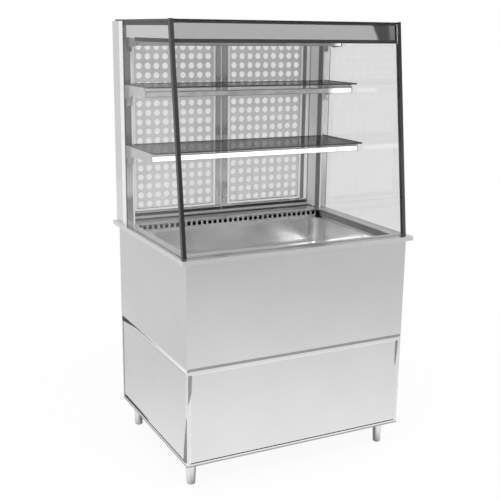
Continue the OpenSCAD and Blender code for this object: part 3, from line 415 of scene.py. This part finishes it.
# Corner profiles: extruded aluminium angles, anodised dark grey and bonded over the pane
# edges. They stay fairly sharp in their gloss.
dark_anodised = even_finish("anodised_dark_grey", "#606060", "#545454", (0.22, 0.32), 0.04)
dress(dark_anodised, "corner_profile_left", "corner_profile_right")


# Canopy: a stainless box between the posts, polished before folding, which hides the cables and
# stiffens the top. It mirrors the room with only a faint haze.
polished = ground_steel("stainless_polished_sheet", X, 0.6, 120, "#F2F2F2", "#ECECEC", (0.01, 0.02),
                        relief=0.005)
dress(polished, "canopy")


# Canopy trim: a black rubber strip along the canopy's hem, which is painted shade for the dark gap
# between the canopy and the top lamp, and a bead of black bonding compound between the canopy and
# the roof pane.
canopy_low, canopy_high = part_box("canopy")
HEM_IN, HEM_BACK = 0.003, 0.0045
hem_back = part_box("top_lamp")[0][1] - HEM_BACK
hem_path = round_front(canopy_high[0] - HEM_IN, hem_back, canopy_low[1] + HEM_IN, canopy_low[2])
sweep("hem_painted_shade", hem_path, (-0.002, -0.0012, 0.0034, 0.0122, 0.0008), UPWARDS, rubber)

BEAD, BEND = 0.004, 0.0074
roof_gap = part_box("roof_pane")[0][2] - canopy_high[2]
top_front = canopy_low[1] + BEND
bond_path = round_front(canopy_high[0] - BEAD, canopy_high[1] - BEAD, top_front + BEAD, canopy_high[2])
sweep("roof_bond", bond_path, (-BEAD, 0.0001, BEAD, roof_gap - 0.0001, 0.001), UPWARDS, rubber)

# Dark grey silicone fills the corners between the panes on the inside, following the lean of the
# front pane.
SIDES = (("left", -1), ("right", 1))
PANE, BEHIND_PANE, SILICONE, SILICONE_FOOT = 0.006, 0.0075, 0.013, 0.002
glass_low, glass_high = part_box("front_glass")
slant = (glass_high[1] - glass_low[1] - PANE)/(glass_high[2] - glass_low[2])
for side, x in SIDES:
    inner = x*(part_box("side_glass_right")[0][0] - 0.0001)
    path = [(inner, glass_low[1] + BEHIND_PANE + slant*(z - glass_low[2]), z)
            for z in (glass_low[2] + SILICONE_FOOT, canopy_low[2])]
    sweep("corner_silicone_" + side, path, (min(0, x*SILICONE), -0.002, max(0, x*SILICONE), 0.0, 0.0008),
          (x, 0, 0), dark_anodised)

# A black tape masks the joint at each end of the canopy.
TAPE_OUT, TAPE_REAR, TAPE_FRONT = 0.0004, 0.002, 0.004
for side, x in SIDES:
    ends = [(x*(canopy_high[0] + TAPE_OUT), y, canopy_high[2])
            for y in (canopy_high[1] - TAPE_REAR, top_front + TAPE_FRONT)]
    sweep("roof_tape_" + side, ends[::x], (-0.0003, -0.0085, 0.0025, roof_gap - 0.0002, 0.0003), UPWARDS,
          rubber)


# Glass shelves: thicker float glass, tinted grey with a dark ground edge. Each lies loose on two
# pressed stainless brackets that are screwed to the posts.
dress(float_glass("grey_glass_shelf", Z, "#8C8C8C", "#3A3A3A", 1.001, 0.3), "shelf_upper", "shelf_lower")
bracket_steel = ground_steel("stainless_satin_pressed", Y, SPACING, 40, "#F0F0F0", "#E6E6E6", (0.4, 0.5))
dress(bracket_steel, "brackets_upper", "brackets_lower")


# Lamp bars: extruded aluminium channels, clear anodised, hung below the canopy and the shelf fronts.
# A black rubber strip along the top of the top lamp's front is painted shade for the gap below the canopy.
dress(satin_anodised, "top_lamp", "lamp_upper", "lamp_lower")
LAMP_SHADE_IN = 0.012
low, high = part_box("top_lamp")
sweep("lamp_painted_shade", level_line(low[0] + LAMP_SHADE_IN, high[0] - LAMP_SHADE_IN, low[1], high[2]),
      (0.0001, -0.0065, 0.002, 0.0028, 0.0006), UPWARDS, rubber)


# Lamp covers and light strips: the covers are extruded opal plastic, snapped into the bars, and
# spread the light of the strips behind. The grey of the upper and top covers is painted shade, and the
# glow at their right ends is a painted reflection.
def opal_cover(name, grey, glow, glow_from):
    """Opal plastic cover with base colour grey, glowing with strength glow from x = glow_from metres on."""
    m = new_finish(name)
    along = add(m, "ShaderNodeSeparateXYZ", {0: place_in(m)}).outputs["X"]
    return surface(m, {
        "Base Color": colours(m, noise(m, 25.0, 1.0), grey, "#C4C4C4"), "Roughness": 0.3,
        "Emission Color": linear("#FFFFFF"),
        "Emission Strength": ranged(m, along, glow_from, glow_from + 0.03, 0.0, glow)})


dress(opal_cover("opal_cover_lit", "#F0F0F0", 0.8, -1.0), "diffuser_lower")
# Painted shade: the grey of the upper and top covers; painted reflection: the glow at their right ends.
dress(opal_cover("opal_cover_upper_shade_and_glint_painted", "#848484", 1.0, 0.34), "diffuser_upper")
dress(opal_cover("opal_cover_top_shade_and_glint_painted", "#8C8C8C", 1.0, 0.415), "top_diffuser")

# The strips are white boards with a yellow light chip every 16 mm.
CHIP_PITCH, CHIP_SHARE = 0.016, 0.3
strip = new_finish("white_board_with_chips")
along = add(strip, "ShaderNodeSeparateXYZ", {0: place_in(strip)}).outputs["X"]
turn = maths(strip, "FRACT", maths(strip, "DIVIDE", along, CHIP_PITCH))
board = colours(strip, maths(strip, "LESS_THAN", turn, CHIP_SHARE), "#F2F2EE", "#F5DC6A")
surface(strip, {"Base Color": board, "Roughness": 0.4, "Emission Color": board, "Emission Strength": 0.3})
dress(strip, "led_strips")


# Rear doors: mitred frames of satin anodised aluminium on two pins, with a flush pull. Sill,
# header and stops are strips of the same aluminium.
door_metal = even_finish("anodised_bright_grey", "#DADADA", "#D0D0D0", (0.08, 0.13), 0.08, 0.75)
dress(door_metal, "door_frame_left", "door_frame_right")
bright_strip = even_finish("anodised_bright_strip", "#F0F0F0", "#E6E6E6", (0.3, 0.4), 0.08, 0.6)
dress(bright_strip, "door_sill", "door_header", "door_stops")

# The screens are perforated sheet under pale grey powder coat, so they stay an even grey behind
# the white rounds of their openings. A clear pane lies behind each.
screen = even_finish("powder_coated_perforated_sheet", "#DCDCDC", "#D4D4D4", (0.5, 0.6), 0.1, 0.0)
dress(screen, "dot_screen_left", "dot_screen_right")
dress(float_glass("float_glass_door", Y, "#EAEAEA", "#4A4A4A"), "door_pane_left", "door_pane_right")


# Door seals: a black strip along the foot of each frame, which is painted shade for the dark gap
# there, a pale plastic bead pushed into the step round its opening, a pale gasket down its hinge side
# and a grey seal beside it.
def upright(x, y, z0, z1):
    """Path from bottom to top."""
    return [(x, y, z0), (x, y, z1)]


# On the glazing beads this near-white is a painted highlight on the edges of the step.
pale_plastic = even_finish("pale_glazing_bead", "#FCFCFC", "#F4F4F4", (0.3, 0.4), 0.1, 0.0)
FOOT_SHADE_IN, FOOT_SHADE_RISE = 0.002, 0.017
GASKET_X, SEAL_SHARE, GASKET_END = 0.4245, 0.957, 0.03
FIELD_X, RAIL, STEP_WIDE, STEP_DEEP = (0.039, 0.389), 0.040, 0.0098, 0.004
for side, x in SIDES:
    low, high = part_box("door_frame_" + side)
    body = side + "_door"
    # Painted shade: the black strip across the foot of each frame stands for the dark gap above the sill.
    foot = level_line(low[0] + FOOT_SHADE_IN, high[0] - FOOT_SHADE_IN, low[1], low[2] + FOOT_SHADE_RISE)
    sweep("door_foot_painted_shade_" + side, foot, (0.0, -0.006, 0.0006, 0.006, 0.0003), UPWARDS, rubber,
          body)
    for part, at, m in (("gasket", x*GASKET_X, pale_plastic), ("seal", SEAL_SHARE*(x*GASKET_X), seal_grey)):
        sweep(f"door_{part}_{side}", upright(at, low[1], low[2] + GASKET_END, high[2] - GASKET_END),
              (-0.008, 0.0, 0.008, 0.0006, 0.0003), FORWARDS, m, body=body)
    x0, x1 = sorted(x*v for v in FIELD_X)
    y, z0, z1 = low[1] + STEP_DEEP, low[2] + RAIL, high[2] - RAIL
    # Painted highlight: the near-white glazing bead stands for the light on the edges of the step.
    sweep("glazing_bead_" + side, [(x0, y, z0), (x0, y, z1), (x1, y, z1), (x1, y, z0), (x0, y, z0)],
          (-STEP_WIDE, 0.0001, 0.0, 0.002, 0.0006), FORWARDS, pale_plastic, body=body)

# A pale brush strip on the left door closes the gap between the two, and a black strip along the
# foot of the sill is painted shade for the dark line where the sill meets the rim.
BRUSH_X, BRUSH_FOOT, BRUSH_HEAD = -0.0028, 0.025, 0.003
low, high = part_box("door_frame_left")
sweep("door_brush", upright(BRUSH_X, low[1], low[2] + BRUSH_FOOT, high[2] - BRUSH_HEAD),
      (-0.0018, 0.0001, 0.0018, 0.001, 0.0003), FORWARDS, pale_plastic, body="left_door")
SILL_IN = 0.002
low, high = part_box("door_sill")
sweep("sill_painted_shade", level_line(low[0] + SILL_IN, high[0] - SILL_IN, low[1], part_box("rim_top")[1][2]),
      (0.0001, 0.0001, 0.030, 0.0008, 0.0003), UPWARDS, rubber)


# Post strips: white strips down the outer side of each post, at the rear edge of the side pane, which
# are a painted highlight on the post's front corner.
STRIP_BACK, STRIP_HALF, STRIP_END = 0.024, 0.020, 0.001
for side, x in SIDES:
    low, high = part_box("post_" + side)
    edge = x*max(abs(low[0]), abs(high[0]))
    sweep("post_highlight_strip_" + side, upright(edge, low[1] + STRIP_BACK, low[2] + STRIP_END, high[2] - STRIP_END),
          (-STRIP_HALF, -0.0006, STRIP_HALF, 0.0008, 0.0003), (x, 0, 0), highlight_white)


# Post linings: a pale plastic bead on the inner front edge of each post, and a grey rubber seal and
# a pale plastic liner, glued side by side to its inner face.
post_liner = even_finish("pale_plastic_liner", "#FCFCFC", "#F0F0F0", (0.3, 0.4), 0.05, 0.0)
BEAD_X, SEAL_BACK, LINER_BACK, LINER_FOOT, LINER_HEAD = 0.004, 0.019, 0.071, 0.004, 0.07
for side, x in SIDES:
    low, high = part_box("post_" + side)
    inner = x*min(abs(low[0]), abs(high[0]))
    z0, z1 = low[2] + STRIP_END, high[2] - STRIP_END
    sweep("post_bead_" + side, upright(inner + x*BEAD_X, low[1], z0, z1),
          (-0.0032, 0.0001, 0.0032, 0.0014, 0.0006), FORWARDS, pale_bead)
    sweep("post_seal_" + side, upright(inner, low[1] + SEAL_BACK, z0, z1),
          (-0.016, 0.0001, 0.016, 0.0014, 0.0006), (-x, 0, 0), seal_grey)
    middle = upright(inner, low[1] + LINER_BACK, low[2] + LINER_FOOT, high[2] - LINER_HEAD)
    sweep("post_liner_" + side, middle, (-0.034, 0.0001, 0.034, 0.001, 0.0004), (-x, 0, 0), post_liner)


# Well seals: grey strips on the left and right walls of the well, between the tank's ledge and the
# rim, which are painted shade for the shaded upper part of those walls.
WELL_X, WELL_FRONT, WELL_REAR, WELL_SHADE_Z = 0.433, -0.300, 0.236, 0.886
for side, x in SIDES:
    path = [(x*WELL_X, WELL_FRONT, WELL_SHADE_Z), (x*WELL_X, WELL_REAR, WELL_SHADE_Z)]
    sweep("well_painted_shade_" + side, path[::x], (-0.0016, -0.013, -0.0001, 0.013, 0.0006), UPWARDS, seal_grey)


# Bracket screws: stainless pan-head screws with a cross recess, driven through the posts from the
# front, beside each bracket that they hold.
def screw_heads(name, places, radius, height):
    """Pan heads facing -Y on a polar grid: the height falls with the square of the distance from the
    axis, and drops by the recess where a point lies in the cross."""
    ring = np.array([0, 0.12, 0.24, 0.36, 0.46, 0.5, 0.75, 0.92, 1.0, 1.0])[:, None]
    turn = np.linspace(0, 2*np.pi, 24, endpoint=False)[None, :]
    across, up = ring*np.cos(turn), ring*np.sin(turn)
    in_cross = (np.minimum(abs(across), abs(up)) < 0.13) & (ring < 0.49)
    rise = 1 - 0.45*ring**2 - 0.35*in_cross
    rise[-1] = 0.0
    one = np.stack([radius*across, -height*rise, radius*up], -1).reshape(-1, 3)
    points = (one[None] + np.array(places)[:, None]).reshape(-1, 3)
    first = one.shape[0]*np.arange(len(places))[:, None, None]
    faces = (np.array(loop_faces(ring.size, turn.size))[None] + first).reshape(-1, 4)
    obj = new_mesh(name, points.tolist(), faces.tolist(), spun_steel)
    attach(obj, "case")
    return obj


SCREW_IN, SCREW_RISE, HEAD_RADIUS, HEAD_HIGH = 0.0065, 0.005, 0.0042, 0.0024
post_low, post_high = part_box("post_right")
for level in ("upper", "lower"):
    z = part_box("brackets_" + level)[0][2] + SCREW_RISE
    screw_heads("screws_bracket_" + level, [(x*(post_high[0] - SCREW_IN), post_low[1], z) for x in (-1, 1)],
                HEAD_RADIUS, HEAD_HIGH)


# Studio floor: a pale floor that fades into the white ground and keeps the shadow of the case. The
# metal mirrors a painted glow of it instead, with a painted shadow under the case.
FLOOR = 2.5
AROUND = 96
angle = np.linspace(0, 2*np.pi, AROUND, endpoint=False)
ground = new_finish("floor_white")
place = place_in(ground)
spot = add(ground, "ShaderNodeSeparateXYZ", {0: place})
far = add(ground, "ShaderNodeVectorMath", {0: place}, operation="LENGTH").outputs["Value"]
fade = ranged(ground, far, 0.5, FLOOR - 0.3, 0.92, 1.0)
painted_glow = ranged(ground, far, 0.4, FLOOR, 1.14, 0.84)

# The glow that the metal mirrors is painted: it falls off outwards from the case, is darkest under
# the case as a painted shadow, and towards the back is painted darker over the first stretch of Y and
# lighter over the second. Each stretch gives its ends in metres and its factor.
SHADE_SOFT, UNDER_CASE = 0.1, 0.2
CASE_EDGES = (("X", 0.5), ("Y", 0.4))
STRETCHES = ((-0.2, 0.8, 0.85), (1.1, 1.8, 1.22))
outside = [ranged(ground, maths(ground, "ABSOLUTE", spot.outputs[axis]), edge - SHADE_SOFT, edge)
           for axis, edge in CASE_EDGES]
shade = ranged(ground, maths(ground, "MAXIMUM", *outside), 0.0, 1.0, UNDER_CASE, 1.0)
for y0, y1, factor in STRETCHES:
    shade = maths(ground, "MULTIPLY", shade, ranged(ground, spot.outputs["Y"], y0, y1, 1.0, factor))
painted_glow = maths(ground, "MULTIPLY", painted_glow, shade)
rays = add(ground, "ShaderNodeLightPath").outputs
by_eye = maths(ground, "MAXIMUM", rays["Is Camera Ray"], rays["Is Transmission Ray"])
white_share = maths(ground, "MULTIPLY", fade, maths(ground, "MAXIMUM", by_eye, rays["Is Glossy Ray"]))
mirrored = maths(ground, "GREATER_THAN", rays["Glossy Depth"], 0.5)
strength = add(ground, "ShaderNodeMix", {0: mirrored, 2: 1.0, 3: painted_glow}, data_type="FLOAT")
matt = add(ground, "ShaderNodeBsdfDiffuse", {"Color": linear("#F8F8F8")})
white = add(ground, "ShaderNodeEmission", {"Color": linear("#FFFFFF"), "Strength": strength.outputs[0]})
mixed = add(ground, "ShaderNodeMixShader", {0: white_share, 1: matt.outputs[0], 2: white.outputs[0]})
add(ground, "ShaderNodeOutputMaterial", {"Surface": mixed.outputs[0]})
disc = [(FLOOR*np.cos(a), FLOOR*np.sin(a), 0.0) for a in angle]
new_mesh("floor", disc, [tuple(range(AROUND))], ground)


# Studio wall: a ring of grey cards and openings around the case, which only its metal and glass
# mirror.
WALL = 6.0
WALL_LOW, WALL_HIGH = -3.0, 5.0
card = new_finish("studio_wall_grey")
point = add(card, "ShaderNodeSeparateXYZ", {0: place_in(card)}).outputs
azimuth = maths(card, "ARCTAN2", point["X"], maths(card, "MULTIPLY", point["Y"], -1.0))


def between(value, low, high, soft):
    """Mask that is 1 between low and high, with edges as wide as soft."""
    up = ranged(card, value, low - soft/2, low + soft/2)
    down = ranged(card, value, high - soft/2, high + soft/2, 1.0, 0.0)
    return maths(card, "MULTIPLY", up, down)


# Each zone gives its directions in degrees from the front, towards the right, its heights in
# metres, the width of its soft edge in degrees, its lean in degrees a metre, and its brightness.
# A later zone covers an earlier one.
OPEN_WALL, HEIGHT_SOFT = 0.66, 0.15
ZONES = (
    (-200, 200, -9.0, 0.2, 4, 0, 0.74),
    (-200, -100, 0.2, 9.0, 12, 0, 0.80),
    (-200, -100, -9.0, 0.2, 12, 0, 0.86),
    (-60, 35.5, 0.2, 1.9, 0.4, 0, 0.34),
    (-60, 21, 0.2, 1.9, 1, 0, 0.24),
    (35.5, 75, 0.2, 1.9, 0.4, 0, 1.3),
    (44.0, 75, 1.9, 9.0, 0.2, 2.5, 0.12),
    (38.15, 75, 1.9, 9.0, 0.2, 0, 0.30),
    (100, 180, 0.2, 9.0, 12, 0, 0.75))
level = OPEN_WALL
for a0, a1, z0, z1, soft, lean, bright in ZONES:
    leaning = maths(card, "MULTIPLY_ADD", point["Z"], np.radians(lean), azimuth)
    across = between(leaning, np.radians(a0), np.radians(a1), np.radians(soft))
    both = maths(card, "MULTIPLY", across, between(point["Z"], z0, z1, HEIGHT_SOFT))
    level = add(card, "ShaderNodeMix", {0: both, 2: level, 3: bright}, data_type="FLOAT").outputs[0]
grey = add(card, "ShaderNodeEmission", {"Color": linear("#FFFFFF"), "Strength": level})
clear = add(card, "ShaderNodeBsdfTransparent")
mirrored = maths(card, "GREATER_THAN", add(card, "ShaderNodeLightPath").outputs["Glossy Depth"], 0.5)
shown = add(card, "ShaderNodeMixShader", {0: mirrored, 1: clear.outputs[0], 2: grey.outputs[0]})
add(card, "ShaderNodeOutputMaterial", {"Surface": shown.outputs[0]})
ring = [(WALL*np.cos(a), WALL*np.sin(a), z) for z in (WALL_LOW, WALL_HIGH) for a in angle]
panels = [(i, (i + 1) % AROUND, (i + 1) % AROUND + AROUND, i + AROUND) for i in range(AROUND)]
wall = new_mesh("studio_wall", ring, panels, card)
wall.visible_camera = wall.visible_diffuse = wall.visible_shadow = False


# Light: a white sky, a soft lamp above the front left, and a weaker one in front that no metal
# mirrors.
world = bpy.data.worlds.new("studio")
bpy.context.scene.world = world
world.use_nodes = True
world.node_tree.nodes.clear()
rays = add(world, "ShaderNodeLightPath").outputs
seen = maths(world, "MAXIMUM", rays["Is Camera Ray"], rays["Is Glossy Ray"])
seen = maths(world, "MAXIMUM", seen, rays["Is Transmission Ray"])
sky = add(world, "ShaderNodeBackground", {
    "Color": linear("#FFFFFF"), "Strength": ranged(world, seen, 0.0, 1.0, 0.75, 1.0)})
add(world, "ShaderNodeOutputWorld", {"Surface": sky.outputs[0]})


def stand(name, data, axes, at):
    """Object that stands at one point, with its X, Y and Z along these axes."""
    obj = bpy.data.objects.new(name, data)
    pose = np.eye(4)
    pose[:3, :3] = np.transpose(axes)
    pose[:3, 3] = at
    obj.matrix_world = Matrix(pose.tolist())
    bpy.context.scene.collection.objects.link(obj)
    return obj


def soft_lamp(name, at, aim, size, power):
    """Square area lamp of side size at one point, turned towards another."""
    lamp = bpy.data.lights.new(name, "AREA")
    lamp.size = size
    lamp.energy = power
    back = np.array(at, float) - np.array(aim, float)
    back /= np.linalg.norm(back)
    flat = np.cross((0, 0, 1), back)
    flat /= np.linalg.norm(flat)
    return stand(name, lamp, (flat, np.cross(back, flat), back), at)


soft_lamp("key_lamp", (-1.8, -3.0, 3.8), (0, 0, 0.8), 2.4, 70)
fill = soft_lamp("fill_lamp", (0.4, -4.2, 1.6), (0, 0, 1.2), 2.5, 60)
fill.visible_glossy = fill.visible_transmission = False


# Camera: it stands at the front left, a little below the roof, and looks slightly down. Angles are
# in radians and lengths in metres.
CAMERA_AT = (-1.625287, -3.141289, 1.684928)
YAW, PITCH, ROLL = -0.468, -0.243, 0.012
ahead = np.array([-np.sin(YAW)*np.cos(PITCH), np.cos(YAW)*np.cos(PITCH), np.sin(PITCH)])
level_right = np.array([np.cos(YAW), np.sin(YAW), 0.0])
level_up = np.cross(level_right, ahead)
right = level_right*np.cos(ROLL) + level_up*np.sin(ROLL)
up = level_up*np.cos(ROLL) - level_right*np.sin(ROLL)
camera = stand("camera", bpy.data.cameras.new("camera"), (right, up, -ahead), CAMERA_AT)
camera.data.lens = 64.0
camera.data.sensor_width = 36.0
bpy.context.scene.camera = camera
bpy.context.scene.view_settings.view_transform = "Standard"
bpy.context.scene.cycles.transparent_max_bounces = 24
bpy.context.scene.cycles.transmission_bounces = 16
bpy.context.scene.cycles.max_bounces = 16
